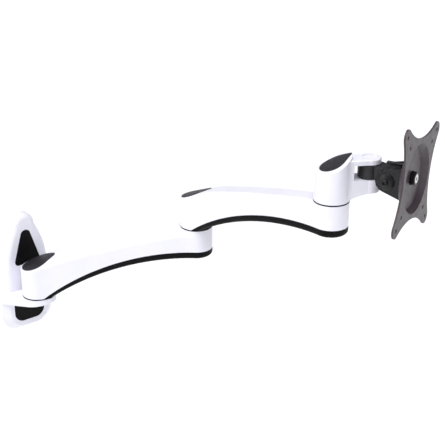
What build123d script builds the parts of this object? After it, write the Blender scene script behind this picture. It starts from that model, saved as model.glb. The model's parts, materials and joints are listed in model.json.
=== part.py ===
from build123d import *

import os
from math import acos, asin, atan, cos, degrees, radians, sin, sqrt

# A wall-mounted monitor arm: a wall bracket, two equal links that each climb one step, a fork head,
# a swivel block, a tilt bracket and a turning VESA plate. Units are millimetres, +Z is up and +X
# points straight out of the wall. The origin is on the wall, midway between the two wall screws.

# ---- pose at rest, in degrees, each direction measured anticlockwise from +X seen from above ----
LINK_1_ANGLE = 56.6
LINK_2_ANGLE = 11.2
HEAD_ANGLE = 60.8
PLATE_ANGLE = 23.1
PLATE_ROLL = -10.8

# ---- pivots shared by all three vertical joints ----
END_R = 20.5
RING_T = 1.6
RING_GAP = 0.1
SHANK_R = 6.0
RUN_FIT = 0.05
SEAT_FIT = 0.02
BORE_CLEAR = 0.6
BUSH_R = 8.5
BUSH_FLANGE_R = 11.0
BUSH_FLANGE_T = 1.5
BUSH_L = 8.0
BOSS_TOP = 22.0
SPRING_R = 10.5
SPRING_T = 1.6
SPRING_EDGE = 0.7
NUT_AF = 18.0
NUT_T = 8.0
NUT_GAP = 0.1
STUD_OVER_NUT = 1.0
STUD_CHAMFER = 0.8
NUT_CORNER_CUT = 0.7
BOLT_HEAD_R = 10.0
BOLT_HEAD_T = 4.0
NUT_POCKET_R = 14.0
CAP_SEAT = 1.4
CAP_PROUD = 0.5
CAP_SKIRT_T = 1.4
CAP_SKIRT_L = 5.0
PART_GAP = 0.1

# ---- link ----
LINK_L = 205.0
LINK_RISE = 87.6
LINK_HALF_W = 18.8
WAIST_BLEND_R = 120.0
FRONT_DEPTH = 29.0
COVER_T = 9.6
LOWER_ARC_U = 185.0
SHELL_ARC_START_U = 8.2
CROWN_FLAT_U = 200.0
CROWN_BLEND_R = 176.0
CROWN_SLOPE = 8.25
CROWN_R = 1250.0
CROWN_FILLET = 8.0
SHELL_WALL = 3.0
CAVITY_START_U = 30.0
FRONT_BOSS_R = 13.5
COVER_WALL = 2.2
COVER_FILLET = 4.5
COVER_TAIL_GAP = 0.4
COVER_TAIL_U = 18.0
LINK_CAP_AXIS_Z = 44.6
LINK_CAP_TILT = 22.0
LINK_CAP_R = 18.4
LINK_CAP_TIP_U = 24.0
LINK_CAP_TIP_R = 6.5
LINK_CAP_BEND_R = 90.0
SCREW_R = 1.5
SCREW_HEAD_R = 2.8
SCREW_HEAD_T = 2.0
SCREW_HEAD_SINK = 0.4
SCREW_L = 9.0
SCREW_END_ROOM = 1.0
SCREW_POST_R = 4.0
SCREW_PLACES = (60.0, 150.0)

# ---- head ----
HEAD_CAP_AXIS_Z = 43.0
HEAD_CAP_TILT = 25.4
HEAD_CAP_R = 15.0
HEAD_CAP_TIP_U = 21.0
HEAD_CAP_TIP_R = 2.0
HEAD_CAP_BEND_R = 75.0
HEAD_BLANK_H = 70.0
HEAD_ARM_HALF_W = 12.4
HEAD_ARM_TOP = 48.0
HEAD_ARM_BLEND = 9.0
HEAD_UNDER_Z = 8.0
HEAD_UNDER_START_U = 14.5
HEAD_UNDER_MID_U = 24.5
HEAD_UNDER_MID_Z = 4.4
HEAD_RIM_FILLET = 1.5
PAN_U = 41.7
JAW_R = 13.0
SLOT_LOW = 24.5
SLOT_HIGH = 42.0
SLOT_START_U = 21.2
PAN_SHANK_R = 4.0
PAN_HEAD_R = 7.0
PAN_HEAD_T = 2.6
PAN_PLUG_R = 8.0
PAN_PLUG_T = 1.2
PAN_PLUG_SINK = 0.6
PAN_PLUG_CHAMFER = 0.4
PAN_NUT_AF = 13.0
PAN_NUT_T = 6.5
PAN_NUT_RECESS = 8.0
PAN_WASHER_T = 0.8
PAN_WASHER_R = 10.0
PAN_KEY_AF = 5.0
PAN_KEY_DEPTH = 1.6

# ---- swivel block ----
SWIVEL_R = JAW_R
SWIVEL_NECK_HALF_W = 9.0
TILT_REACH = 26.4
TILT_Z = 28.5
TILT_BARREL_R = 9.5
TILT_SHANK_R = 4.0
SWIVEL_BUSH_WALL = 1.5
NECK_LEAN_DROP = 1.0

# ---- tilt bracket ----
EAR_T = 2.6
EAR_OUTER_HALF = 17.2
EAR_R = 12.6
EAR_TOP = 17.6
EAR_BOTTOM = 19.8
WEB_BACK = 17.7
WEB_T = 2.5
FRICTION_T = 0.9
STOP_TAB_W = 5.5
STOP_TAB_BACK = 6.0
STOP_TAB_T = 2.5
BEND_R = 3.0
CUP_R = 9.8
CUP_T = 3.6
CUP_RIM_T = 0.8
TILT_HEAD_R = 3.8
TILT_HEAD_T = 2.4
TILT_HEAD_CHAMFER = 0.6
TILT_SOCKET_AF = 3.4
TILT_SOCKET_DEPTH = 1.8
TILT_NUT_AF = 13.0
TILT_NUT_T = 6.0

# ---- VESA plate ----
PLATE_T = 2.0
PLATE_LOBE_R = 9.0
VESA_LARGE = 100.0
VESA_SMALL = 75.0
VESA_HOLE_R = 2.3
PLATE_WAIST = 45.0
DISH_DEPTH = 6.0
DISH_FLOOR_R = 34.0
DISH_RIM_R = 39.5
TURN_LIFT = 3.3
TURN_SHANK_R = 5.0
TURN_HEAD_R = 7.0
TURN_HEAD_T = 3.6
TURN_NUT_AF = 14.0
TURN_NUT_T = 4.6
TURN_NUT_CHAMFER = 0.6
BACK_WASHER_R = 15.0
FRONT_WASHER_R = 7.8
FRONT_WASHER_T = 0.8
TURN_KEY_AF = 4.0
TURN_KEY_DEPTH = 2.0

# ---- wall bracket ----
WALL_TO_AXIS = 38.0
SCREW_SPACING = 80.0
RING_BELOW_ORIGIN = 13.0
WALL_HOLE_R = 3.0
WALL_HOLE_SINK_R = 6.5
WALL_HOLE_SINK = 2.5
TONGUE_FACE = 13.5
TONGUE_TOP = 103.0
TONGUE_TOP_R = 15.5
TONGUE_MID_HALF_W = 26.0
TONGUE_MID_Z = 61.0
TONGUE_LOW_HALF_W = 31.0
TONGUE_FILLET = 7.0
TONGUE_LEAN = 0.45
FOOT_FACE = 8.5
FOOT_BACK_HALF_W = 35.5
FOOT_FACE_HALF_W = 26.5
FOOT_BACK_DEPTH = 62.0
FOOT_FACE_DEPTH = 56.0
FOOT_BACK_CORNER_R = 22.0
FOOT_FACE_CORNER_R = 18.0
SHELF_SEAT_T = 8.0
SHELF_NOSE_R = 22.0
SHELF_NOSE_T = 6.9
SHELF_ROOT_T = 20.6
SHELF_FILLET = 1.5
SHELF_CORNER_R = 1.0
INSERT_T = 2.0
INSERT_SINK = 0.7
UPPER_INSERT_LOW = 34.3
UPPER_INSERT_TOP = 81.6
UPPER_INSERT_HALF_W = 17.6
UPPER_INSERT_TOP_R = 7.0
UPPER_INSERT_R = 5.5
LOWER_INSERT_TOP = 21.5
LOWER_INSERT_LOW = 49.0
LOWER_INSERT_HALF_W = 21.5
LOWER_INSERT_R = 13.0
LOWER_INSERT_TOP_R = 3.5

# ---- places that follow from the sizes above ----
RING_Z = -RING_BELOW_ORIGIN
STEP = LINK_RISE + RING_T + RING_GAP
SHELL_FRONT_Z = LINK_RISE - FRONT_DEPTH
COVER_FRONT_Z = SHELL_FRONT_Z - COVER_T
# Both arcs under a link are level at LOWER_ARC_U and come down to its bottom plane near the rear end.
SHELL_ARC_R = ((LOWER_ARC_U - SHELL_ARC_START_U) ** 2 + SHELL_FRONT_Z ** 2) / (2 * SHELL_FRONT_Z)
COVER_ARC_R = ((LOWER_ARC_U - COVER_TAIL_U) ** 2 + COVER_FRONT_Z ** 2) / (2 * COVER_FRONT_Z)


def toward(angle, reach):
    """The horizontal step of a given reach in a given direction."""
    return reach * cos(radians(angle)), reach * sin(radians(angle))


AXIS_1 = (WALL_TO_AXIS, 0.0)
STEP_1 = toward(LINK_1_ANGLE, LINK_L)
AXIS_2 = (AXIS_1[0] + STEP_1[0], AXIS_1[1] + STEP_1[1])
STEP_2 = toward(LINK_2_ANGLE, LINK_L)
AXIS_3 = (AXIS_2[0] + STEP_2[0], AXIS_2[1] + STEP_2[1])
STEP_3 = toward(HEAD_ANGLE, PAN_U)
PAN_AXIS = (AXIS_3[0] + STEP_3[0], AXIS_3[1] + STEP_3[1])
STEP_4 = toward(PLATE_ANGLE, TILT_REACH)
TILT_AXIS = (PAN_AXIS[0] + STEP_4[0], PAN_AXIS[1] + STEP_4[1])
LINK_1_Z = RING_Z
LINK_2_Z = LINK_1_Z + STEP
HEAD_Z = LINK_2_Z + STEP

LINK_1_PLACE = Pos(*AXIS_1, LINK_1_Z) * Rot(0, 0, LINK_1_ANGLE)
LINK_2_PLACE = Pos(*AXIS_2, LINK_2_Z) * Rot(0, 0, LINK_2_ANGLE)
HEAD_PLACE = Pos(*AXIS_3, HEAD_Z) * Rot(0, 0, HEAD_ANGLE)
SWIVEL_PLACE = Pos(*PAN_AXIS, HEAD_Z) * Rot(0, 0, PLATE_ANGLE)
# The tilt frame has +X along the plate's normal and its origin on the tilt axis.
TILT_PLACE = Pos(*TILT_AXIS, HEAD_Z + TILT_Z) * Rot(0, 0, PLATE_ANGLE)
TURN_PLACE = TILT_PLACE * Pos(0, 0, TURN_LIFT)
PLATE_PLACE = TURN_PLACE * Rot(PLATE_ROLL, 0, 0)

# A face counts as facing up or down when the upright part of its unit normal is more than this.
FACES_UP = 0.9
FACES_DOWN = 0.6

UP = (Align.CENTER, Align.CENTER, Align.MIN)
DOWN = (Align.CENTER, Align.CENTER, Align.MAX)

# Sizes of cutting shapes that only have to reach past the casting they cut.
HALF_ACROSS = END_R + 5.0
HIGH = 100.0
FAR = 200.0

LINK_CAP = {"axis_z": LINK_CAP_AXIS_Z, "tilt": LINK_CAP_TILT, "radius": LINK_CAP_R,
            "tip_u": LINK_CAP_TIP_U, "tip_r": LINK_CAP_TIP_R, "bend_r": LINK_CAP_BEND_R}
HEAD_CAP = {"axis_z": HEAD_CAP_AXIS_Z, "tilt": HEAD_CAP_TILT, "radius": HEAD_CAP_R,
            "tip_u": HEAD_CAP_TIP_U, "tip_r": HEAD_CAP_TIP_R, "bend_r": HEAD_CAP_BEND_R}


def column(radius, low, high, x=0.0, y=0.0):
    """A vertical cylinder between two heights."""
    return Pos(x, y, low) * Cylinder(radius, high - low, align=UP)


def tube(outer, inner, low, high, x=0.0, y=0.0):
    return column(outer, low, high, x, y) - column(inner, low - 1, high + 1, x, y)


def hexagon(across_flats, low, high):
    flat = RegularPolygon(across_flats / 2, 6, major_radius=False)
    return Pos(0, 0, low) * extrude(flat, high - low)


def side_on(face):
    """Stands a face drawn in XY up in the XZ plane."""
    return Plane.XZ * face


def along_x(shape):
    """Turns a shape built along +Z to lie along +X."""
    return Rot(0, 90, 0) * shape


def along_y(shape):
    """Turns a shape built along +Z to lie along +Y."""
    return Rot(-90, 0, 0) * shape


def across(radius, low, high):
    """A cylinder along the tilt axis between two places on it."""
    return Pos(0, low, 0) * along_y(Cylinder(radius, high - low, align=UP))


# ---------------------------------------------------------------- link

def link_plan(inset=0.0):
    """The link from above: two round ends and a slightly narrower waist, all moved in by inset."""
    end = END_R - inset
    half = LINK_HALF_W - inset
    blend = WAIST_BLEND_R + inset
    run = sqrt((end + blend) ** 2 - (half + blend) ** 2)
    touch = Vector(run, half + blend) * (end / (end + blend))
    sweep = degrees(asin(run / (end + blend)))
    far = LINK_L
    edges = [
        ThreePointArc((touch.X, -touch.Y), (-end, 0), (touch.X, touch.Y)),
        CenterArc((run, half + blend), blend, 270 - sweep, sweep),
        Line((run, half), (far - run, half)),
        CenterArc((far - run, half + blend), blend, 270, sweep),
        ThreePointArc((far - touch.X, touch.Y), (far + end, 0), (far - touch.X, -touch.Y)),
        CenterArc((far - run, -half - blend), blend, 90 - sweep, sweep),
        Line((far - run, -half), (run, -half)),
        CenterArc((run, -half - blend), blend, 90, sweep),
    ]
    return make_face(edges)


def rising_arc(radius, top_z, low_z):
    """An arc level at LOWER_ARC_U and top_z, followed back down to low_z; also gives that end's u."""
    centre = (LOWER_ARC_U, top_z - radius)
    drop = asin(sqrt(radius ** 2 - (low_z - centre[1]) ** 2) / radius)
    return CenterArc(centre, radius, 90, degrees(drop)), LOWER_ARC_U - radius * sin(drop)


def crown_edges(inset, back_u):
    """The link's top line from its level front to back_u, moved down by inset."""
    level = LINK_RISE - inset
    blend = CROWN_BLEND_R - inset
    blend_centre = Vector(CROWN_FLAT_U, LINK_RISE - CROWN_BLEND_R)
    slope = radians(CROWN_SLOPE)
    lean = Vector(-sin(slope), cos(slope))
    crown_centre = blend_centre + lean * (CROWN_BLEND_R - CROWN_R)
    radius = CROWN_R - inset
    last = degrees(asin((crown_centre.X - back_u) / radius))
    front = LINK_L + END_R + 1
    edges = [
        Line((front, level), (CROWN_FLAT_U, level)),
        CenterArc(blend_centre, blend, 90, CROWN_SLOPE),
        CenterArc(crown_centre, radius, 90 + CROWN_SLOPE, last - CROWN_SLOPE),
    ]
    return edges, crown_centre.Y + radius * cos(radians(last))


def shell_side():
    back = -END_R - 1
    front = LINK_L + END_R + 1
    top, top_z = crown_edges(0.0, back)
    arc, arc_u = rising_arc(SHELL_ARC_R, SHELL_FRONT_Z, 0.0)
    edges = top + [
        Line((back, top_z), (back, 0)),
        Line((back, 0), (arc_u, 0)),
        arc,
        Line((LOWER_ARC_U, SHELL_FRONT_Z), (front, SHELL_FRONT_Z)),
        Line((front, SHELL_FRONT_Z), (front, LINK_RISE)),
    ]
    return make_face(edges)


def slab_over(face, half_width):
    return extrude(side_on(face), half_width, both=True)


def rim_edges(solid, faces):
    """The edges that bound a patch of faces, without those inside it."""
    inside = [edge for face in faces for edge in face.edges()]
    return [edge for edge in inside if sum(edge.is_same(other) for other in inside) == 1]


def cap_plane(cap, offset=0.0):
    """The slanted plane that touches a pivot cap's top line, moved up its normal by offset."""
    slope = radians(cap["tilt"])
    plane = Plane(origin=(0, 0, cap["axis_z"]), x_dir=(cos(slope), 0, sin(slope)),
                  z_dir=(-sin(slope), 0, cos(slope)))
    return plane.offset(offset)


def under_dome(cap, lift=0.0):
    """A long round bar along the cap's slope; its upper side is the cap's surface moved up by lift."""
    bend = cap["bend_r"]
    return cap_plane(cap, -bend) * along_x(Cylinder(bend + lift, FAR))


def over_dome(cap, lift=0.0):
    """All that is above the cap's rounded surface."""
    bend = cap["bend_r"]
    return cap_plane(cap, -bend) * Box(FAR, 2 * bend, FAR, align=UP) - under_dome(cap, lift)


def cap_outline(cap, gap=0.0):
    """A round cap drawn out to a small rounded tip at the front."""
    big = cap["radius"] + gap
    small = cap["tip_r"] + gap
    tip = cap["tip_u"] - cap["tip_r"]
    lean = asin((big - small) / tip)
    direction = Vector(sin(lean), cos(lean))
    a = direction * big
    b = Vector(tip, 0) + direction * small
    edges = [
        ThreePointArc((a.X, -a.Y), (-big, 0), (a.X, a.Y)),
        Line((a.X, a.Y), (b.X, b.Y)),
        ThreePointArc((b.X, b.Y), (tip + small, 0), (b.X, -b.Y)),
        Line((b.X, -b.Y), (a.X, -a.Y)),
    ]
    return make_face(edges)


def cap_pocket(cap):
    """What a casting loses at a pivot: all above the cap's surface, the cap's seat, the nut's well."""
    seat = extrude(cap_outline(cap, PART_GAP), HIGH) & over_dome(cap, -CAP_SEAT)
    well = column(NUT_POCKET_R, BOSS_TOP, HIGH)
    return over_dome(cap) + seat + well


def pivot_cap(cap):
    """A rounded cap on a slanted seat, with a skirt that plugs into the nut's well."""
    disc = extrude(cap_outline(cap), HIGH) & under_dome(cap, CAP_PROUD)
    disc -= under_dome(cap, -CAP_SEAT)
    outer = NUT_POCKET_R - PART_GAP
    skirt = tube(outer, outer - CAP_SKIRT_T, BOSS_TOP, HIGH) & under_dome(cap, -CAP_SEAT)
    skirt -= cap_plane(cap, -CAP_SEAT - CAP_SKIRT_L) * Box(FAR, FAR, FAR, align=DOWN)
    return disc + skirt


def bush_seats():
    """The stepped bore for two flanged bushes between z 0 and the boss top."""
    bore = column(SHANK_R + BORE_CLEAR, -1, BOSS_TOP + 1)
    seat = BUSH_R + SEAT_FIT
    flange = BUSH_FLANGE_R + SEAT_FIT
    low = column(seat, -1, BUSH_L) + column(flange, -1, BUSH_FLANGE_T)
    high = column(seat, BOSS_TOP - BUSH_L, BOSS_TOP + 1)
    high += column(flange, BOSS_TOP - BUSH_FLANGE_T, BOSS_TOP + 1)
    return bore + low + high


def stud_seat(bottom, top):
    """The bore and head recess for the stud that stands up out of a front end or shelf."""
    bore = column(SHANK_R + SEAT_FIT, bottom - 1, top + 1)
    return bore + column(BOLT_HEAD_R + SEAT_FIT, bottom - 1, bottom + BOLT_HEAD_T)


def screw_posts():
    posts = [column(SCREW_POST_R, 0, HIGH, u) for u in SCREW_PLACES]
    return posts[0] + posts[1]


def cover_floor_z(u, lift=0.0):
    """The cover's underside at a place along the link, or its floor a given lift above it."""
    radius = COVER_ARC_R + lift
    return COVER_FRONT_Z - COVER_ARC_R + sqrt(radius ** 2 - (LOWER_ARC_U - u) ** 2)


def cover_side(lift=0.0, back_u=COVER_TAIL_U):
    """The region under the shell's lower line and above the cover's own, in from back_u."""
    front = LINK_L + END_R + 1
    roof, _ = rising_arc(SHELL_ARC_R, SHELL_FRONT_Z, 0.0)
    radius = COVER_ARC_R + lift
    centre = (LOWER_ARC_U, COVER_FRONT_Z - COVER_ARC_R)
    sweep = degrees(asin((LOWER_ARC_U - back_u) / radius))
    roof_sweep = degrees(asin((LOWER_ARC_U - back_u) / SHELL_ARC_R))
    roof_centre = (LOWER_ARC_U, SHELL_FRONT_Z - SHELL_ARC_R)
    floor_z = COVER_FRONT_Z + lift
    back_low = cover_floor_z(back_u, lift)
    back_high = roof_centre[1] + sqrt(SHELL_ARC_R ** 2 - (LOWER_ARC_U - back_u) ** 2)
    edges = [
        CenterArc(roof_centre, SHELL_ARC_R, 90, roof_sweep),
        Line((back_u, back_high), (back_u, back_low)),
        CenterArc(centre, radius, 90, sweep),
        Line((LOWER_ARC_U, floor_z), (front, floor_z)),
        Line((front, floor_z), (front, SHELL_FRONT_Z)),
        Line((front, SHELL_FRONT_Z), (LOWER_ARC_U, SHELL_FRONT_Z)),
    ]
    return make_face(edges)


def link_shell():
    """The white casting of a link: a channel open below, with a bushed rear end and a front boss."""
    solid = extrude(link_plan(), LINK_RISE + 1) & slab_over(shell_side(), HALF_ACROSS)
    top_faces = [face for face in solid.faces() if face.normal_at().Z > FACES_UP]
    solid = fillet(rim_edges(solid, top_faces), CROWN_FILLET)
    solid += column(END_R, SHELL_FRONT_Z, LINK_RISE, LINK_L)
    top, top_z = crown_edges(SHELL_WALL, CAVITY_START_U)
    front = LINK_L + END_R + 1
    hollow_side = make_face(top + [
        Line((CAVITY_START_U, top_z), (CAVITY_START_U, -1)),
        Line((CAVITY_START_U, -1), (front, -1)),
        Line((front, -1), (front, LINK_RISE - SHELL_WALL)),
    ])
    hollow = extrude(link_plan(SHELL_WALL), LINK_RISE) & slab_over(hollow_side, HALF_ACROSS)
    hollow -= column(FRONT_BOSS_R, -1, HIGH, LINK_L)
    hollow -= screw_posts()
    solid -= hollow
    solid -= cap_pocket(LINK_CAP)
    solid -= bush_seats()
    solid -= Pos(LINK_L, 0, 0) * stud_seat(SHELL_FRONT_Z, LINK_RISE)
    for u in SCREW_PLACES:
        solid -= column(SCREW_R + PART_GAP, 0, cover_floor_z(u) + SCREW_HEAD_T + SCREW_L, u)
    return solid


def cable_cover():
    """The black cover under a link: a shallow tray with posts for its two screws."""
    solid = extrude(link_plan(), LINK_RISE) & slab_over(cover_side(), HALF_ACROSS)
    low_faces = [face for face in solid.faces() if face.normal_at().Z < -FACES_DOWN]
    sharp = [edge for edge in rim_edges(solid, low_faces) if edge.center().X > COVER_TAIL_U + PART_GAP]
    solid = fillet(sharp, COVER_FILLET)
    arc, tip_u = rising_arc(SHELL_ARC_R, SHELL_FRONT_Z, COVER_TAIL_GAP)
    run = LOWER_ARC_U - COVER_TAIL_U
    tail_roof = SHELL_FRONT_Z - SHELL_ARC_R + sqrt(SHELL_ARC_R ** 2 - run ** 2)
    roof_sweep = degrees(asin(run / SHELL_ARC_R))
    tip_sweep = degrees(asin((LOWER_ARC_U - tip_u) / SHELL_ARC_R))
    low = cover_floor_z(COVER_TAIL_U)
    tail = make_face([
        CenterArc((LOWER_ARC_U, SHELL_FRONT_Z - SHELL_ARC_R), SHELL_ARC_R, 90 + roof_sweep,
                  tip_sweep - roof_sweep),
        Line((tip_u, COVER_TAIL_GAP), (COVER_TAIL_U - 1, COVER_TAIL_GAP)),
        Line((COVER_TAIL_U - 1, COVER_TAIL_GAP), (COVER_TAIL_U, low)),
        Line((COVER_TAIL_U, low), (COVER_TAIL_U, tail_roof)),
    ])
    solid += extrude(link_plan(COVER_FILLET / 2), LINK_RISE) & slab_over(tail, HALF_ACROSS)
    hollow = extrude(link_plan(COVER_WALL), LINK_RISE)
    hollow &= slab_over(cover_side(COVER_WALL, CAVITY_START_U), HALF_ACROSS)
    hollow -= screw_posts()
    solid -= hollow
    for u in SCREW_PLACES:
        low = cover_floor_z(u)
        solid -= column(SCREW_R + PART_GAP, 0, HIGH, u)
        solid -= column(SCREW_HEAD_R + PART_GAP, 0, low + SCREW_HEAD_T, u)
    # The thin rear end stops clear of the lower bush's flange.
    solid -= column(BUSH_FLANGE_R + PART_GAP, -1, BUSH_L)
    return solid


def cover_screws():
    """Two pan-head screws that hold a cable cover up against its link."""
    screws = []
    for u in SCREW_PLACES:
        low = cover_floor_z(u)
        seat = low + SCREW_HEAD_T
        head = column(SCREW_HEAD_R, low + SCREW_HEAD_SINK, seat, u)
        screws.append(head + column(SCREW_R, seat, seat + SCREW_L - SCREW_END_ROOM, u))
    return Compound(children=screws)


# ---------------------------------------------------------------- pivot hardware

def stud(bottom):
    """A headed stud that rises through the part over it; z 0 is the moving part's bottom plane."""
    nut_top = BOSS_TOP + NUT_GAP + SPRING_T + NUT_T
    shank = column(SHANK_R, bottom + BOLT_HEAD_T, nut_top + STUD_OVER_NUT)
    shank = chamfer(shank.edges().sort_by(Axis.Z)[-1], STUD_CHAMFER)
    return column(BOLT_HEAD_R, bottom, bottom + BOLT_HEAD_T) + shank


def washer_ring():
    """The thin plastic ring between two turning faces."""
    return tube(END_R, SHANK_R + 1, -RING_T - RING_GAP, -RING_GAP)


def bush(low, flange_low):
    """A flanged plain bush, a running fit on the stud."""
    body = column(BUSH_R, low, low + BUSH_L)
    flange = column(BUSH_FLANGE_R, flange_low, flange_low + BUSH_FLANGE_T)
    return body + flange - column(SHANK_R + RUN_FIT, low - 1, low + BUSH_L + 1)


def lower_bush():
    return bush(0.0, 0.0)


def upper_bush():
    return bush(BOSS_TOP - BUSH_L, BOSS_TOP - BUSH_FLANGE_T)


def disc_spring():
    """A dished spring washer between the upper bush and the nut."""
    low = BOSS_TOP + NUT_GAP
    bore = SHANK_R + SEAT_FIT
    profile = make_face(Polyline(
        (bore, low + SPRING_T - SPRING_EDGE), (bore, low + SPRING_T), (bore + 1, low + SPRING_T),
        (SPRING_R, low + SPRING_EDGE), (SPRING_R, low), (SPRING_R - 1, low), close=True))
    return revolve(side_on(profile), Axis.Z)


def pivot_nut():
    """The lock nut that holds a joint together."""
    low = BOSS_TOP + NUT_GAP + SPRING_T
    body = hexagon(NUT_AF, low, low + NUT_T)
    corner = NUT_AF / sqrt(3)
    guard = Pos(0, 0, low) * Cone(corner + NUT_T, corner - NUT_CORNER_CUT, NUT_T, align=UP)
    return (body & guard) - column(SHANK_R + SEAT_FIT, low - 1, low + NUT_T + 1)


# ---------------------------------------------------------------- head

def head_plan():
    """The arm of the fork from above, blended into the cylinder at its root."""
    half = HEAD_ARM_HALF_W
    blend = HEAD_ARM_BLEND
    side = half + blend
    run = sqrt((END_R + blend) ** 2 - side ** 2)
    touch = Vector(run, side) * (END_R / (END_R + blend))
    sweep = degrees(asin(run / (END_R + blend)))
    return make_face([
        CenterArc((run, side), blend, 270 - sweep, sweep),
        Line((run, half), (PAN_U, half)),
        Line((PAN_U, half), (PAN_U, -half)),
        Line((PAN_U, -half), (run, -half)),
        CenterArc((run, -side), blend, 90, sweep),
        Line((touch.X, -touch.Y), (touch.X, touch.Y)),
    ])


def head_side():
    """The arm of the fork from the side, its underside rising towards the jaws."""
    end = PAN_U + JAW_R + 1
    level_u = PAN_U - 2
    return make_face([
        Line((0, 0), (HEAD_UNDER_START_U, 0)),
        ThreePointArc((HEAD_UNDER_START_U, 0), (HEAD_UNDER_MID_U, HEAD_UNDER_MID_Z),
                      (level_u, HEAD_UNDER_Z)),
        Line((level_u, HEAD_UNDER_Z), (end, HEAD_UNDER_Z)),
        Line((end, HEAD_UNDER_Z), (end, HEAD_ARM_TOP)),
        Line((end, HEAD_ARM_TOP), (0, HEAD_ARM_TOP)),
        Line((0, HEAD_ARM_TOP), (0, 0)),
    ])


def head_rims(arm):
    """The long outer edges of the arm's top and bottom, beyond the cylinder."""
    rims = []
    for edge in arm.edges():
        box = edge.bounding_box()
        at_top = abs(box.min.Z - HEAD_ARM_TOP) < 0.01
        at_bottom = box.max.Z < HEAD_UNDER_Z + 0.01
        along = box.size.X > 0.5 and edge.center().X > END_R
        if along and (at_top or at_bottom) and (edge.center().Y != 0 or edge.length > END_R):
            rims.append(edge)
    return rims


def head_casting():
    """The white fork: a bushed cylinder with an arm that ends in two jaws."""
    cylinder = column(END_R, 0, HEAD_BLANK_H) - over_dome(HEAD_CAP)
    arm = extrude(head_plan(), HEAD_BLANK_H) + column(JAW_R, 0, HEAD_BLANK_H, PAN_U)
    arm &= slab_over(head_side(), END_R)
    arm = fillet(head_rims(arm), HEAD_RIM_FILLET)
    solid = cylinder + arm
    solid -= Pos(SLOT_START_U, 0, SLOT_LOW) * Box(
        FAR, FAR, SLOT_HIGH - SLOT_LOW, align=(Align.MIN, Align.CENTER, Align.MIN))
    solid -= cap_pocket(HEAD_CAP)
    solid -= bush_seats()
    plug_seat = HEAD_ARM_TOP - PAN_PLUG_SINK - PAN_PLUG_T
    solid -= column(PAN_SHANK_R + SEAT_FIT, 0, HIGH, PAN_U)
    solid -= column(PAN_HEAD_R + SEAT_FIT, plug_seat - PAN_HEAD_T, HIGH, PAN_U)
    solid -= column(PAN_PLUG_R + SEAT_FIT, plug_seat, HIGH, PAN_U)
    solid -= Pos(PAN_U, 0, 0) * hexagon(PAN_NUT_AF + 2 * SEAT_FIT, 0, HEAD_UNDER_Z + PAN_NUT_RECESS)
    return solid


def pan_bolt():
    """The cross-jaw bolt, its flat head sunk in the upper jaw."""
    head_top = HEAD_ARM_TOP - PAN_PLUG_SINK - PAN_PLUG_T
    tip = HEAD_UNDER_Z + PAN_NUT_RECESS - PAN_NUT_T - 1
    shank = column(PAN_SHANK_R, tip, head_top - PAN_HEAD_T)
    head = column(PAN_HEAD_R, head_top - PAN_HEAD_T, head_top)
    return shank + head - hexagon(PAN_KEY_AF, head_top - PAN_KEY_DEPTH, head_top + 1)


def pan_nut():
    top = HEAD_UNDER_Z + PAN_NUT_RECESS
    return hexagon(PAN_NUT_AF, top - PAN_NUT_T, top) - column(PAN_SHANK_R + SEAT_FIT, 0, top + 1)


def pan_plug():
    """The white disc that hides the bolt's head, a little below the jaw's face."""
    top = HEAD_ARM_TOP - PAN_PLUG_SINK
    disc = column(PAN_PLUG_R, top - PAN_PLUG_T, top)
    return chamfer(disc.edges().sort_by(Axis.Z)[-1], PAN_PLUG_CHAMFER)


def pan_washer(low):
    return tube(PAN_WASHER_R, PAN_SHANK_R + PART_GAP, low, low + PAN_WASHER_T)


# ---------------------------------------------------------------- swivel block

SWIVEL_LOW = SLOT_LOW + PAN_WASHER_T + PART_GAP
SWIVEL_HIGH = SLOT_HIGH - PAN_WASHER_T - PART_GAP
EAR_INNER_HALF = EAR_OUTER_HALF - EAR_T
BARREL_HALF = EAR_INNER_HALF - PART_GAP


def swivel_block():
    """The black block between the jaws, with a crosswise barrel for the tilt bolt."""
    tilt_axis = Pos(TILT_REACH, 0, TILT_Z)
    pan = column(SWIVEL_R, SWIVEL_LOW, SWIVEL_HIGH)
    height = SWIVEL_HIGH - SWIVEL_LOW
    neck = Pos(0, 0, SWIVEL_LOW) * Box(
        TILT_REACH, 2 * SWIVEL_NECK_HALF_W, height, align=(Align.MIN, Align.CENTER, Align.MIN))
    neck &= column(TILT_REACH, 0, HIGH)
    # The neck's top leans down to the barrel, clear of the bracket's stop tab.
    lean_start = SWIVEL_R
    lean_end = TILT_REACH + 1
    lean_low = TILT_Z + TILT_BARREL_R - NECK_LEAN_DROP
    lean = make_face(Polyline(
        (lean_start, SWIVEL_HIGH), (lean_end, lean_low), (lean_end, HIGH), (lean_start, HIGH),
        close=True))
    neck -= slab_over(lean, SWIVEL_NECK_HALF_W + 1)
    solid = pan + neck + tilt_axis * across(TILT_BARREL_R, -BARREL_HALF, BARREL_HALF)
    solid -= column(PAN_SHANK_R + SWIVEL_BUSH_WALL + SEAT_FIT, 0, HIGH)
    solid -= tilt_axis * across(TILT_SHANK_R + SWIVEL_BUSH_WALL + SEAT_FIT, -HIGH, HIGH)
    return solid


def pan_bush():
    return tube(PAN_SHANK_R + SWIVEL_BUSH_WALL, PAN_SHANK_R + RUN_FIT, SWIVEL_LOW, SWIVEL_HIGH)


def tilt_bush():
    outer = across(TILT_SHANK_R + SWIVEL_BUSH_WALL, -BARREL_HALF, BARREL_HALF)
    return outer - across(TILT_SHANK_R + RUN_FIT, -BARREL_HALF - 1, BARREL_HALF + 1)


# ---------------------------------------------------------------- tilt bracket, in the tilt frame

def ear_touch(corner, side):
    """Where a line from a web corner touches the ear's round end, on its upper (1) or lower (-1) side."""
    turn = acos(EAR_R / corner.length)
    angle = atan(corner.Y / corner.X) + side * turn
    return Vector(EAR_R * cos(angle), EAR_R * sin(angle))


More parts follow.
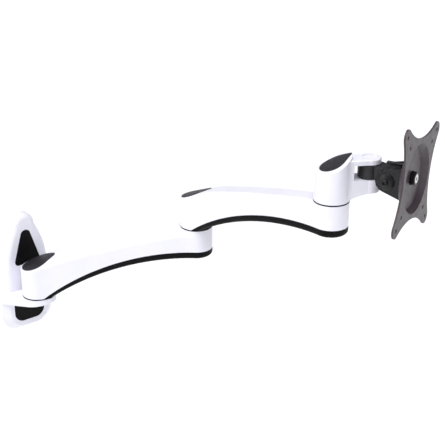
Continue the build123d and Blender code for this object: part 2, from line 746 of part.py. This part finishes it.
def ear_outline():
    """The ear from the side: round about the tilt axis and widening to the web."""
    up = Vector(WEB_BACK + WEB_T, EAR_TOP)
    low = Vector(WEB_BACK + WEB_T, -EAR_BOTTOM)
    top = ear_touch(up, 1)
    bottom = ear_touch(low, -1)
    return make_face([
        Line((up.X, up.Y), (top.X, top.Y)),
        ThreePointArc((top.X, top.Y), (-EAR_R, 0), (bottom.X, bottom.Y)),
        Line((bottom.X, bottom.Y), (low.X, low.Y)),
        Line((low.X, low.Y), (up.X, up.Y)),
    ])


def bent_block(front, half_width, corner_r):
    """A tall block behind x = front whose two front corners are rounded."""
    block = Pos(front, 0, 0) * Box(
        HIGH, 2 * half_width, HIGH, align=(Align.MAX, Align.CENTER, Align.CENTER))
    return fillet(block.edges().filter_by(Axis.Z).group_by(Axis.X)[-1], corner_r)


def tilt_bracket():
    """A folded steel U: two ears on the tilt axis, a web behind the plate and a small stop tab."""
    web_front = WEB_BACK + WEB_T
    folded = bent_block(web_front, EAR_OUTER_HALF, BEND_R + EAR_T)
    folded -= bent_block(WEB_BACK, EAR_INNER_HALF, BEND_R)
    solid = folded & slab_over(ear_outline(), EAR_OUTER_HALF + 1)
    solid += Pos(web_front, 0, EAR_TOP - STOP_TAB_T) * Box(
        web_front + STOP_TAB_BACK, STOP_TAB_W, STOP_TAB_T, align=(Align.MAX, Align.CENTER, Align.MIN))
    solid -= across(TILT_SHANK_R + SEAT_FIT, -HIGH, HIGH)
    solid -= Pos(0, 0, TURN_LIFT) * along_x(column(TURN_SHANK_R + SEAT_FIT, 0, HIGH))
    return solid


def tilt_bolt():
    """The socket-head bolt through both ears, its head on the near side."""
    seat = -EAR_OUTER_HALF - CUP_T
    face = seat - TILT_HEAD_T
    solid = across(TILT_SHANK_R - 1, seat, EAR_OUTER_HALF + CUP_T + TILT_NUT_T + 1)
    solid += across(TILT_SHANK_R, -EAR_OUTER_HALF, EAR_OUTER_HALF)
    solid += across(TILT_HEAD_R, face, seat)
    solid = chamfer(solid.edges().sort_by(Axis.Y)[0], TILT_HEAD_CHAMFER)
    return solid - Pos(0, face - 1, 0) * along_y(hexagon(TILT_SOCKET_AF, 0, TILT_SOCKET_DEPTH + 1))


def tilt_cup(side):
    """A domed washer under the tilt bolt's head (side -1) or its nut (side 1)."""
    rise = CUP_T - CUP_RIM_T
    dome_r = (CUP_R ** 2 + rise ** 2) / (2 * rise)
    low = EAR_OUTER_HALF
    solid = across(CUP_R, low, low + CUP_T) & Pos(0, low + CUP_T - dome_r, 0) * Sphere(dome_r)
    solid -= across(TILT_SHANK_R - 1 + SEAT_FIT, 0, HIGH)
    return solid if side > 0 else Rot(0, 0, 180) * solid


def tilt_nut():
    low = EAR_OUTER_HALF + CUP_T
    nut = Pos(0, low, 0) * along_y(hexagon(TILT_NUT_AF, 0, TILT_NUT_T))
    return nut - across(TILT_SHANK_R - 1 + SEAT_FIT, 0, HIGH)


# ---------------------------------------------------------------- VESA plate, in the tilt frame

PLATE_BACK = WEB_BACK + WEB_T + FRICTION_T
PLATE_FRONT = PLATE_BACK + PLATE_T
TURN_NUT_LOW = PLATE_FRONT + FRONT_WASHER_T + 2 * PART_GAP


def plate_outline():
    """An X-shaped plate: four round lobes joined by four shallow inward curves."""
    corner = VESA_LARGE / 2
    rise = corner - PLATE_WAIST
    # The inward curve passes through the waist and meets both lobes without a corner.
    radius = (corner ** 2 + rise ** 2 - PLATE_LOBE_R ** 2) / (2 * (rise + PLATE_LOBE_R))
    lobe = Vector(corner, corner)
    away = (Vector(PLATE_WAIST + radius, 0) - lobe).normalized() * PLATE_LOBE_R
    start = lobe + away
    end = lobe + Vector(away.Y, away.X)
    tip = lobe + Vector(1, 1) * (PLATE_LOBE_R / sqrt(2))
    side = ThreePointArc((end.X, end.Y), (0, PLATE_WAIST), (-end.X, end.Y))
    round_end = ThreePointArc((start.X, start.Y), (tip.X, tip.Y), (end.X, end.Y))
    return make_face([Rot(0, 0, 90 * turn) * edge for turn in range(4) for edge in (round_end, side)])


def vesa_plate():
    """The pressed steel plate, dished in the middle towards the arm."""
    back = PLATE_BACK
    front = PLATE_FRONT + DISH_DEPTH
    sheet = Pos(0, 0, front - PLATE_T) * extrude(plate_outline(), PLATE_T)
    outer = make_face(Polyline(
        (0, back), (DISH_FLOOR_R + PLATE_T, back), (DISH_RIM_R + PLATE_T, front - PLATE_T),
        (DISH_RIM_R + PLATE_T, front), (0, front), close=True))
    inner = make_face(Polyline(
        (0, PLATE_FRONT), (DISH_FLOOR_R, PLATE_FRONT), (DISH_RIM_R, front), (DISH_RIM_R, front + 1),
        (0, front + 1), close=True))
    solid = sheet + revolve(side_on(outer), Axis.Z) - revolve(side_on(inner), Axis.Z)
    for size in (VESA_LARGE, VESA_SMALL):
        for x in (-size / 2, size / 2):
            for y in (-size / 2, size / 2):
                solid -= column(VESA_HOLE_R, 0, HIGH, x, y)
    solid -= column(TURN_SHANK_R + RUN_FIT, 0, HIGH)
    return along_x(solid)


def turn_bolt():
    """The bolt the plate turns on, its head inside the tilt bracket."""
    end = TURN_NUT_LOW + TURN_NUT_T
    solid = column(TURN_HEAD_R, WEB_BACK - TURN_HEAD_T, WEB_BACK) + column(TURN_SHANK_R, WEB_BACK, end)
    solid -= hexagon(TURN_KEY_AF, end - TURN_KEY_DEPTH, end + 1)
    return along_x(solid)


def turn_nut():
    end = TURN_NUT_LOW + TURN_NUT_T
    nut = hexagon(TURN_NUT_AF, TURN_NUT_LOW, end)
    nut = chamfer(nut.faces().sort_by(Axis.Z)[-1].edges(), TURN_NUT_CHAMFER)
    return along_x(nut - column(TURN_SHANK_R + SEAT_FIT, 0, HIGH))


def turn_back_washer():
    low = WEB_BACK + WEB_T
    return along_x(tube(BACK_WASHER_R, TURN_SHANK_R + SEAT_FIT, low, low + FRICTION_T - PART_GAP))


def turn_front_washer():
    low = PLATE_FRONT + PART_GAP
    return along_x(tube(FRONT_WASHER_R, TURN_SHANK_R + SEAT_FIT, low, low + FRONT_WASHER_T))


# ---------------------------------------------------------------- wall bracket
# Drawn with the shelf's top plane at z 0 and the wall at x 0.

def facing_wall(face):
    """Stands a face drawn in XY up against the wall, its X along +Y and its Y along +Z."""
    return Plane(origin=(0, 0, 0), x_dir=(0, 1, 0), z_dir=(1, 0, 0)) * face


def tongue_outline():
    """The upper plate: wide at the shelf, drawn in to a round top."""
    shoulder = TONGUE_TOP - TONGUE_TOP_R
    side = [(TONGUE_LOW_HALF_W, 0), (TONGUE_MID_HALF_W, TONGUE_MID_Z), (TONGUE_TOP_R, shoulder)]
    mirrored = [(-x, z) for x, z in reversed(side)]
    return make_face([
        Line((-TONGUE_LOW_HALF_W, -SHELF_SEAT_T), (TONGUE_LOW_HALF_W, -SHELF_SEAT_T)),
        Line((TONGUE_LOW_HALF_W, -SHELF_SEAT_T), side[0]),
        Spline(side, tangents=[(0, 1), (-TONGUE_LEAN, 1)]),
        ThreePointArc(side[-1], (0, TONGUE_TOP), mirrored[0]),
        Spline(mirrored, tangents=[(-TONGUE_LEAN, -1), (0, -1)]),
        Line(mirrored[-1], (-TONGUE_LOW_HALF_W, -SHELF_SEAT_T)),
    ])


def foot_outline(half, depth, corner):
    """The plate below the shelf: straight sides and large round lower corners."""
    face = Pos(0, -depth / 2) * Rectangle(2 * half, depth)
    return fillet(face.vertices().group_by(Axis.Y)[0], corner)


def upper_insert_outline(gap=0.0):
    """A tall triangle with a round top and rounded lower corners."""
    foot_x = UPPER_INSERT_HALF_W - UPPER_INSERT_R
    foot_z = UPPER_INSERT_LOW + UPPER_INSERT_R
    rounds = [Pos(x, foot_z) * Circle(UPPER_INSERT_R + gap) for x in (-foot_x, foot_x)]
    rounds.append(Pos(0, UPPER_INSERT_TOP - UPPER_INSERT_TOP_R) * Circle(UPPER_INSERT_TOP_R + gap))
    return make_hull([edge for circle in rounds for edge in circle.edges()])


def lower_insert_outline(gap=0.0):
    """A wide panel under the shelf, with large round lower corners."""
    height = LOWER_INSERT_LOW - LOWER_INSERT_TOP
    face = Pos(0, -LOWER_INSERT_TOP - height / 2) * Rectangle(
        2 * LOWER_INSERT_HALF_W + 2 * gap, height + 2 * gap)
    face = fillet(face.vertices().group_by(Axis.Y)[0], LOWER_INSERT_R + gap)
    return fillet(face.vertices().group_by(Axis.Y)[-1], LOWER_INSERT_TOP_R + gap)


def shelf_outline():
    """The shelf from above: a round nose under the arm that spreads to the bracket's full width."""
    nose = Circle(SHELF_NOSE_R)
    side = FOOT_BACK_HALF_W - SHELF_CORNER_R
    corners = [Pos(SHELF_CORNER_R - WALL_TO_AXIS, y) * Circle(SHELF_CORNER_R) for y in (-side, side)]
    edges = nose.edges() + corners[0].edges() + corners[1].edges()
    return Pos(WALL_TO_AXIS, 0) * make_hull(edges)


def shelf_side():
    """The shelf from the side: its underside rises from the wall to the nose."""
    nose = WALL_TO_AXIS + SHELF_NOSE_R + 1
    return make_face(Polyline(
        (-1, 0), (nose, 0), (nose, -SHELF_NOSE_T), (-1, -SHELF_ROOT_T), close=True))


def insert_body(outline, face_x, depth):
    """A flat cover let into a face of the bracket, its front a little below that face."""
    return Pos(face_x - depth, 0, 0) * extrude(facing_wall(outline), depth)


def bracket_tongue():
    tongue = extrude(facing_wall(tongue_outline()), TONGUE_FACE)
    front = tongue.faces().sort_by(Axis.X)[-1]
    return fillet([edge for edge in front.edges() if edge.center().Z > 0.5], TONGUE_FILLET)


def bracket_foot():
    back = foot_outline(FOOT_BACK_HALF_W, FOOT_BACK_DEPTH, FOOT_BACK_CORNER_R)
    face = foot_outline(FOOT_FACE_HALF_W, FOOT_FACE_DEPTH, FOOT_FACE_CORNER_R)
    return loft([facing_wall(back), Pos(FOOT_FACE, 0, 0) * facing_wall(face)])


def bracket_shelf():
    shelf = Pos(0, 0, -SHELF_ROOT_T - 1) * extrude(shelf_outline(), SHELF_ROOT_T + 1)
    shelf &= slab_over(shelf_side(), FOOT_BACK_HALF_W + 1)
    under = [face for face in shelf.faces() if face.normal_at().Z < -FACES_DOWN]
    rims = [edge for edge in rim_edges(shelf, under) if edge.center().X > 1]
    return fillet(rims, SHELF_FILLET)


def screw_hole(z, face_x):
    """A countersunk hole for a wall screw, through the floor of an insert's pocket."""
    floor = face_x - INSERT_T - INSERT_SINK
    hole = column(WALL_HOLE_R, -1, floor + 1)
    hole += column(WALL_HOLE_SINK_R, floor - WALL_HOLE_SINK, floor + 1)
    return Pos(0, 0, z) * along_x(hole)


def wall_bracket():
    """The white casting: tongue, shelf and foot in one piece."""
    solid = bracket_tongue() + bracket_foot() + bracket_shelf()
    pocket = INSERT_T + INSERT_SINK
    solid -= insert_body(upper_insert_outline(PART_GAP), TONGUE_FACE, pocket)
    solid -= insert_body(lower_insert_outline(PART_GAP), FOOT_FACE, pocket)
    solid -= column(SHANK_R + SEAT_FIT, -SHELF_ROOT_T, 1, WALL_TO_AXIS)
    solid -= column(BOLT_HEAD_R + SEAT_FIT, -SHELF_ROOT_T, BOLT_HEAD_T - SHELF_SEAT_T, WALL_TO_AXIS)
    middle = RING_BELOW_ORIGIN + RING_T + RING_GAP
    solid -= screw_hole(middle + SCREW_SPACING / 2, TONGUE_FACE)
    solid -= screw_hole(middle - SCREW_SPACING / 2, FOOT_FACE)
    return solid


def upper_insert():
    return insert_body(upper_insert_outline(), TONGUE_FACE - INSERT_SINK, INSERT_T)


def lower_insert():
    return insert_body(lower_insert_outline(), FOOT_FACE - INSERT_SINK, INSERT_T)


# ---------------------------------------------------------------- the assembly

def joint_hardware(place, number, stud_bottom):
    """The pieces that fill one vertical pivot, placed with the moving part's bottom plane at z 0."""
    return {
        f"pivot_stud_{number}": place * stud(stud_bottom),
        f"washer_ring_{number}": place * washer_ring(),
        f"disc_spring_{number}": place * disc_spring(),
        f"pivot_nut_{number}": place * pivot_nut(),
        f"lower_bush_{number}": place * lower_bush(),
        f"upper_bush_{number}": place * upper_bush(),
    }


def arm(place, number):
    return {
        f"arm_{number}_shell": place * link_shell(),
        f"arm_{number}_cable_cover": place * cable_cover(),
        f"arm_{number}_cover_screws": place * cover_screws(),
        f"arm_{number}_cap": place * pivot_cap(LINK_CAP),
    }


def all_pieces():
    """Every piece in its place, by node name."""
    shelf_place = Pos(0, 0, RING_Z - RING_T - RING_GAP)
    front_seat = -FRONT_DEPTH - RING_T - RING_GAP
    pieces = {
        "wall_bracket": shelf_place * wall_bracket(),
        "upper_screw_cover": shelf_place * upper_insert(),
        "lower_screw_cover": shelf_place * lower_insert(),
    }
    pieces |= joint_hardware(LINK_1_PLACE, 1, -SHELF_SEAT_T - RING_T - RING_GAP)
    pieces |= arm(LINK_1_PLACE, 1)
    pieces |= joint_hardware(LINK_2_PLACE, 2, front_seat)
    pieces |= arm(LINK_2_PLACE, 2)
    pieces |= joint_hardware(HEAD_PLACE, 3, front_seat)
    pieces |= {
        "fork_head": HEAD_PLACE * head_casting(),
        "fork_head_cap": HEAD_PLACE * pivot_cap(HEAD_CAP),
        "pan_bolt": HEAD_PLACE * Pos(PAN_U, 0, 0) * pan_bolt(),
        "pan_nut": HEAD_PLACE * Pos(PAN_U, 0, 0) * pan_nut(),
        "pan_bolt_plug": HEAD_PLACE * Pos(PAN_U, 0, 0) * pan_plug(),
        "pan_lower_washer": SWIVEL_PLACE * pan_washer(SLOT_LOW),
        "pan_upper_washer": SWIVEL_PLACE * pan_washer(SLOT_HIGH - PAN_WASHER_T),
        "swivel_block": SWIVEL_PLACE * swivel_block(),
        "pan_bush": SWIVEL_PLACE * pan_bush(),
        "tilt_bush": TILT_PLACE * tilt_bush(),
        "tilt_bracket": TILT_PLACE * tilt_bracket(),
        "tilt_bolt": TILT_PLACE * tilt_bolt(),
        "tilt_bolt_washer": TILT_PLACE * tilt_cup(-1),
        "tilt_nut_washer": TILT_PLACE * tilt_cup(1),
        "tilt_nut": TILT_PLACE * tilt_nut(),
        "turn_bolt": TURN_PLACE * turn_bolt(),
        "turn_nut": TURN_PLACE * turn_nut(),
        "turn_front_washer": TURN_PLACE * turn_front_washer(),
        "turn_back_washer": TURN_PLACE * turn_back_washer(),
        "vesa_plate": PLATE_PLACE * vesa_plate(),
    }
    return pieces


os.makedirs("parts", exist_ok=True)
for name, piece in all_pieces().items():
    export_step(piece, f"parts/{name}.step")
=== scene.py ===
import json
import math

import bpy
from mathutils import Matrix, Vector


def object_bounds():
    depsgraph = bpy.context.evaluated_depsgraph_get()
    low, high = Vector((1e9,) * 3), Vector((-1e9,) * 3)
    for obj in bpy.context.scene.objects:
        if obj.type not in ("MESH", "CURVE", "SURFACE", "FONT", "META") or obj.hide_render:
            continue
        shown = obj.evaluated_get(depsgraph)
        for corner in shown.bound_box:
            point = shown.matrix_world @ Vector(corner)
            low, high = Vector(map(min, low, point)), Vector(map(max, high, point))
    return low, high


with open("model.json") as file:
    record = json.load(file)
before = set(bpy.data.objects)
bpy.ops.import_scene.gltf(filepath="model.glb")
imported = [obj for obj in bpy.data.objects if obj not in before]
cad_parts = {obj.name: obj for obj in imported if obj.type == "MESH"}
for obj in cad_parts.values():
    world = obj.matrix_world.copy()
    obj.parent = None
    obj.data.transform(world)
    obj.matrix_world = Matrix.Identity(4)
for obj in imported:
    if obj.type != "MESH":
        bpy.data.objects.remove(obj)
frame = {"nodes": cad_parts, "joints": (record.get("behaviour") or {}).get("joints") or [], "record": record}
cad_low, cad_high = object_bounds()

# A wall-mounted monitor arm in a white studio. Everything is in metres.

scene = bpy.context.scene
joints = {joint["name"]: joint for joint in frame["joints"]}
wall_pivot = Vector(joints["wall_pivot"]["pos_m"])

# ---------------------------------------------------------------- camera

CAMERA_OFFSET = Vector((1.082, -0.5439, 0.6149))
CAMERA_AZIMUTH = 52.0
CAMERA_ELEVATION = 23.5
CAMERA_LENS = 83.5
CAMERA_NEAR = 0.05
CAMERA_FAR = 50.0


def view_direction(azimuth, elevation):
    """The way a view looks, from its azimuth and elevation in degrees; azimuth 0 is along +Y."""
    turn = math.radians(azimuth)
    drop = math.radians(elevation)
    return Vector((-math.sin(turn) * math.cos(drop), math.cos(turn) * math.cos(drop), -math.sin(drop)))


def make_camera():
    data = bpy.data.cameras.new("camera")
    data.lens = CAMERA_LENS
    data.clip_start = CAMERA_NEAR
    data.clip_end = CAMERA_FAR
    camera = bpy.data.objects.new("camera", data)
    camera.location = wall_pivot + CAMERA_OFFSET
    look = view_direction(CAMERA_AZIMUTH, CAMERA_ELEVATION)
    camera.rotation_euler = look.to_track_quat("-Z", "Y").to_euler()
    scene.collection.objects.link(camera)
    scene.camera = camera


# ---------------------------------------------------------------- material helpers

NOISE_ROUGHNESS = 0.55
BEVEL_SAMPLES = 4
ROUGHEN_FROM = 0.3
ROUGHEN_TO = 0.7


class Finish:
    """A node material under construction: a principled shader and what feeds it."""

    def __init__(self, name, roughness, metallic=0.0, specular=0.5):
        self.material = bpy.data.materials.new(name)
        self.material.use_nodes = True
        self.nodes = self.material.node_tree.nodes
        self.links = self.material.node_tree.links
        self.shader = self.nodes["Principled BSDF"]
        self.shader.inputs["Roughness"].default_value = roughness
        self.shader.inputs["Metallic"].default_value = metallic
        self.shader.inputs["Specular IOR Level"].default_value = specular
        self.place = self.nodes.new("ShaderNodeTexCoord").outputs["Object"]
        self.normal = None

    def noise(self, size, detail=3.0):
        """Cloudy noise whose blobs are about size metres across; returns its value from 0 to 1."""
        node = self.nodes.new("ShaderNodeTexNoise")
        node.inputs["Scale"].default_value = 1.0 / size
        node.inputs["Detail"].default_value = detail
        node.inputs["Roughness"].default_value = NOISE_ROUGHNESS
        self.links.new(self.place, node.inputs["Vector"])
        return node.outputs["Fac"]

    def stretched_noise(self, size, stretch):
        """Noise drawn out along the frame's axes by the stretch factors, for a brushed grain."""
        mapping = self.nodes.new("ShaderNodeMapping")
        mapping.inputs["Scale"].default_value = stretch
        self.links.new(self.place, mapping.inputs["Vector"])
        node = self.nodes.new("ShaderNodeTexNoise")
        node.inputs["Scale"].default_value = 1.0 / size
        self.links.new(mapping.outputs["Vector"], node.inputs["Vector"])
        return node.outputs["Fac"]

    def cells(self, size, randomness=1.0):
        """Distance to the nearest of many points about size metres apart."""
        node = self.nodes.new("ShaderNodeTexVoronoi")
        node.inputs["Scale"].default_value = 1.0 / size
        node.inputs["Randomness"].default_value = randomness
        self.links.new(self.place, node.inputs["Vector"])
        return node.outputs["Distance"]

    def ramp(self, value, low, high, start, end):
        """Turns a value into a colour between low (at start) and high (at end)."""
        node = self.nodes.new("ShaderNodeValToRGB")
        node.color_ramp.elements[0].position = start
        node.color_ramp.elements[0].color = (*low, 1.0)
        node.color_ramp.elements[1].position = end
        node.color_ramp.elements[1].color = (*high, 1.0)
        self.links.new(value, node.inputs["Fac"])
        return node.outputs["Color"]

    def colour(self, value, low, high, start=0.35, end=0.65):
        """Lets the base colour wander between low and high."""
        self.links.new(self.ramp(value, low, high, start, end), self.shader.inputs["Base Color"])

    def roughen(self, value, low, high):
        """Lets roughness wander between low and high."""
        grey = self.ramp(value, (low,) * 3, (high,) * 3, ROUGHEN_FROM, ROUGHEN_TO)
        self.links.new(grey, self.shader.inputs["Roughness"])

    def bump(self, value, height, strength=1.0):
        """Raises the surface by up to height metres where value is high, over any earlier bump."""
        node = self.nodes.new("ShaderNodeBump")
        node.inputs["Distance"].default_value = height
        node.inputs["Strength"].default_value = strength
        self.links.new(value, node.inputs["Height"])
        if self.normal:
            self.links.new(self.normal, node.inputs["Normal"])
        self.normal = node.outputs["Normal"]
        self.links.new(self.normal, self.shader.inputs["Normal"])

    def soft_edges(self, radius):
        """Rounds the look of sharp edges by radius metres, as a deburred or coated edge."""
        node = self.nodes.new("ShaderNodeBevel")
        node.samples = BEVEL_SAMPLES
        node.inputs["Radius"].default_value = radius
        self.normal = node.outputs["Normal"]
        self.links.new(self.normal, self.shader.inputs["Normal"])


# ---------------------------------------------------------------- the finishes, by slot

def white_casting():
    """Gloss white powder coat with a faint orange peel."""
    finish = Finish("white_casting", roughness=0.34, specular=0.45)
    finish.soft_edges(0.0006)
    finish.colour(finish.noise(0.02), (0.858, 0.853, 0.935), (0.883, 0.878, 0.955))
    finish.roughen(finish.noise(0.006), 0.3, 0.4)
    finish.bump(finish.noise(0.0016, detail=1.0), 0.00002)
    finish.shader.inputs["Coat Weight"].default_value = 0.25
    finish.shader.inputs["Coat Roughness"].default_value = 0.12
    return finish.material


def white_plug():
    """White moulded plastic, a little duller than the castings."""
    finish = Finish("white_plug", roughness=0.45)
    finish.colour(finish.noise(0.004), (0.84, 0.835, 0.87), (0.88, 0.875, 0.9))
    finish.roughen(finish.noise(0.001), 0.4, 0.55)
    finish.bump(finish.noise(0.0004), 0.00001)
    return finish.material


def black_cover():
    """Satin black moulded plastic with a fine spark-eroded grain."""
    finish = Finish("black_cover", roughness=0.5, specular=0.12)
    finish.soft_edges(0.0004)
    finish.colour(finish.noise(0.012), (0.002, 0.0015, 0.002), (0.004, 0.0035, 0.004))
    finish.roughen(finish.noise(0.003), 0.42, 0.58)
    finish.bump(finish.noise(0.00045, detail=2.0), 0.000025)
    return finish.material


def textured_cap():
    """Black plastic with a raised pebble grain of about a millimetre."""
    finish = Finish("textured_cap", roughness=0.42, specular=0.45)
    pebbles = finish.cells(0.0013, randomness=0.55)
    finish.colour(pebbles, (0.05, 0.045, 0.056), (0.006, 0.0055, 0.007), 0.15, 0.6)
    finish.roughen(finish.noise(0.004), 0.36, 0.5)
    finish.bump(pebbles, 0.00022, strength=0.8)
    finish.bump(finish.noise(0.0004), 0.00002)
    return finish.material


def black_nylon():
    """Dull black nylon of the friction rings."""
    finish = Finish("black_nylon", roughness=0.6, specular=0.12)
    finish.colour(finish.noise(0.003), (0.003, 0.003, 0.0033), (0.006, 0.006, 0.0065))
    finish.roughen(finish.noise(0.001), 0.5, 0.7)
    finish.bump(finish.noise(0.0006), 0.00002)
    return finish.material


def bush_plastic():
    """Off-white acetal with turning marks."""
    finish = Finish("bush_plastic", roughness=0.4)
    finish.colour(finish.noise(0.004), (0.68, 0.67, 0.62), (0.76, 0.75, 0.7))
    marks = finish.stretched_noise(0.002, (0.2, 0.2, 8.0))
    finish.roughen(marks, 0.32, 0.5)
    finish.bump(marks, 0.00001)
    return finish.material


def black_casting():
    """Black powder-coated casting with a soft, slightly lumpy skin."""
    finish = Finish("black_casting", roughness=0.42, specular=0.4)
    finish.soft_edges(0.0008)
    finish.colour(finish.noise(0.006), (0.014, 0.013, 0.0155), (0.022, 0.0205, 0.0235))
    finish.roughen(finish.noise(0.002), 0.34, 0.5)
    finish.bump(finish.noise(0.0011, detail=2.0), 0.00006)
    return finish.material


def black_steel():
    """Folded sheet steel in fine-textured black paint, worn a little shinier in patches."""
    finish = Finish("black_steel", roughness=0.3, specular=0.35)
    finish.soft_edges(0.0009)
    finish.colour(finish.noise(0.008), (0.006, 0.005, 0.0065), (0.011, 0.0095, 0.0115))
    finish.roughen(finish.noise(0.005), 0.24, 0.38)
    finish.bump(finish.noise(0.0005, detail=2.0), 0.00003)
    return finish.material


def plate_steel():
    """Pressed sheet steel in a dark satin grey-brown paint with a fine grain."""
    finish = Finish("plate_steel", roughness=0.4, specular=0.5)
    finish.soft_edges(0.0005)
    finish.colour(finish.noise(0.015), (0.048, 0.034, 0.043), (0.062, 0.046, 0.056))
    finish.roughen(finish.noise(0.006), 0.34, 0.46)
    finish.bump(finish.noise(0.0007, detail=2.0), 0.00003)
    return finish.material


def zinc_steel():
    """Bright zinc-plated steel with a turned grain."""
    finish = Finish("zinc_steel", roughness=0.28, metallic=1.0)
    finish.soft_edges(0.0004)
    finish.colour(finish.noise(0.003), (0.62, 0.63, 0.65), (0.74, 0.74, 0.75))
    grain = finish.stretched_noise(0.0015, (1.0, 1.0, 7.0))
    finish.roughen(grain, 0.2, 0.38)
    finish.bump(grain, 0.000015)
    return finish.material


FINISHES = {
    "white_casting": white_casting,
    "white_plug": white_plug,
    "black_cover": black_cover,
    "textured_cap": textured_cap,
    "black_nylon": black_nylon,
    "bush_plastic": bush_plastic,
    "black_casting": black_casting,
    "black_steel": black_steel,
    "plate_steel": plate_steel,
    "zinc_steel": zinc_steel,
}


def dress_frame():
    """Gives every CAD node the finish of its own material slot."""
    made = {slot: build() for slot, build in FINISHES.items()}
    for part in frame["record"]["subparts"]:
        for material_slot in frame["nodes"][part["node"]].material_slots:
            material_slot.material = made[part["material_slot"]]


# ---------------------------------------------------------------- studio

FLOOR_DROP = 0.55
FLOOR_HALF = 12.0
WHITE = (1.0, 1.0, 1.0)
COOL_WHITE = (0.9, 0.93, 1.0)
# Each light: its name, the direction it comes from, its strength, its spread in degrees, its colour.
LIGHTS = (
    ("key", (0.2, -0.5, 1.5), 2.8, 50.0, WHITE),
    ("side", (-0.3, -1.0, 0.3), 0.6, 40.0, WHITE),
    ("front", (1.0, 0.1, 0.3), 0.55, 50.0, COOL_WHITE),
)
WORLD_STRENGTH = 0.36
WORLD_BRIGHT = (0.95, 0.95, 1.0, 1.0)
WORLD_DIM = (0.3, 0.3, 0.34, 1.0)
WORLD_DIM_FROM = 0.0
WORLD_DIM_TO = 0.9


def make_floor():
    """A plain pale floor that runs past the camera's view on every side."""
    finish = Finish("floor", roughness=0.9, specular=0.1)
    finish.colour(finish.noise(0.4), (0.9, 0.9, 0.9), (0.93, 0.93, 0.93))
    z = cad_low.z - FLOOR_DROP
    corners = [(-FLOOR_HALF, -FLOOR_HALF, z), (FLOOR_HALF, -FLOOR_HALF, z),
               (FLOOR_HALF, FLOOR_HALF, z), (-FLOOR_HALF, FLOOR_HALF, z)]
    mesh = bpy.data.meshes.new("floor")
    mesh.from_pydata(corners, [], [(0, 1, 2, 3)])
    mesh.materials.append(finish.material)
    floor = bpy.data.objects.new("floor", mesh)
    scene.collection.objects.link(floor)


def sun(name, direction, strength, spread, colour):
    """Even light from a direction, softened by its spread in degrees."""
    data = bpy.data.lights.new(name, "SUN")
    data.energy = strength
    data.angle = math.radians(spread)
    data.color = colour
    light = bpy.data.objects.new(name, data)
    light.rotation_euler = Vector(direction).to_track_quat("Z", "Y").to_euler()
    scene.collection.objects.link(light)


def make_world():
    """Pale grey-lavender all round, dimmer towards the right of the camera's view."""
    world = bpy.data.worlds.new("studio")
    world.use_nodes = True
    nodes = world.node_tree.nodes
    links = world.node_tree.links
    place = nodes.new("ShaderNodeTexCoord")
    towards = nodes.new("ShaderNodeVectorMath")
    towards.operation = "DOT_PRODUCT"
    dim_side = math.radians(CAMERA_AZIMUTH)
    towards.inputs[1].default_value = (math.cos(dim_side), math.sin(dim_side), 0.0)
    links.new(place.outputs["Generated"], towards.inputs[0])
    ramp = nodes.new("ShaderNodeValToRGB")
    ramp.color_ramp.interpolation = "EASE"
    ramp.color_ramp.elements[0].position = WORLD_DIM_FROM
    ramp.color_ramp.elements[0].color = WORLD_BRIGHT
    ramp.color_ramp.elements[1].position = WORLD_DIM_TO
    ramp.color_ramp.elements[1].color = WORLD_DIM
    links.new(towards.outputs["Value"], ramp.inputs["Fac"])
    links.new(ramp.outputs["Color"], nodes["Background"].inputs["Color"])
    nodes["Background"].inputs["Strength"].default_value = WORLD_STRENGTH
    scene.world = world


make_camera()
dress_frame()
make_floor()
for light in LIGHTS:
    sun(*light)
make_world()
scene.view_settings.view_transform = "Standard"
